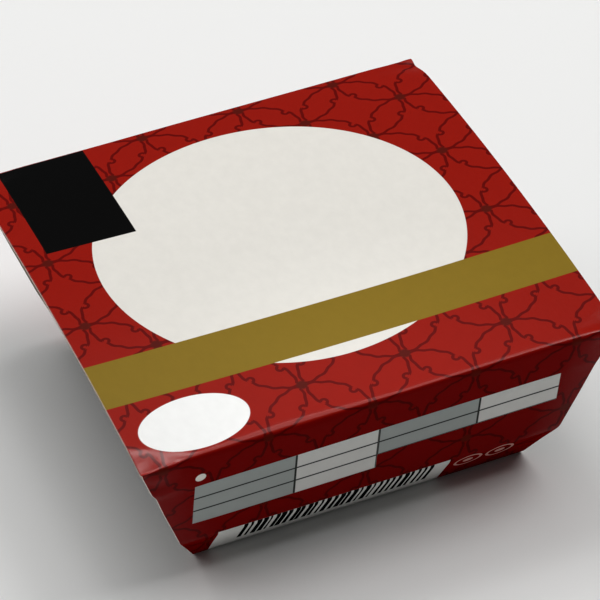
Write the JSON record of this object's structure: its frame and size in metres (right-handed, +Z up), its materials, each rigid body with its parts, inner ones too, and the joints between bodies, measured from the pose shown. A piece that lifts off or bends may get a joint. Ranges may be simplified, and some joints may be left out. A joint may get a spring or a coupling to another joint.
{
  "type": "sleeved ready-meal pack",
  "caption": "Shut ready-meal pack: a printed paperboard sleeve with open, tapering ends, folded round a sealed, tapered tray of sticky rice with eel.",
  "frame": {"origin": "middle of the sleeve's underside, on the surface that the pack stands on", "axes": "+Z up, X along the folds of the sleeve, -Y towards the front panel"},
  "size_m": [0.09, 0.0884, 0.0373],
  "materials": {
    "printed_board": "paperboard printed dark red, with a soft satin coating and bare pale cut edges",
    "tray_plastic": "thin black polypropylene with a soft sheen, under a milky lidding film"
  },
  "bodies": {
    "root": {"sleeve": "printed_board", "tray": "tray_plastic"}
  },
  "joints": []
}
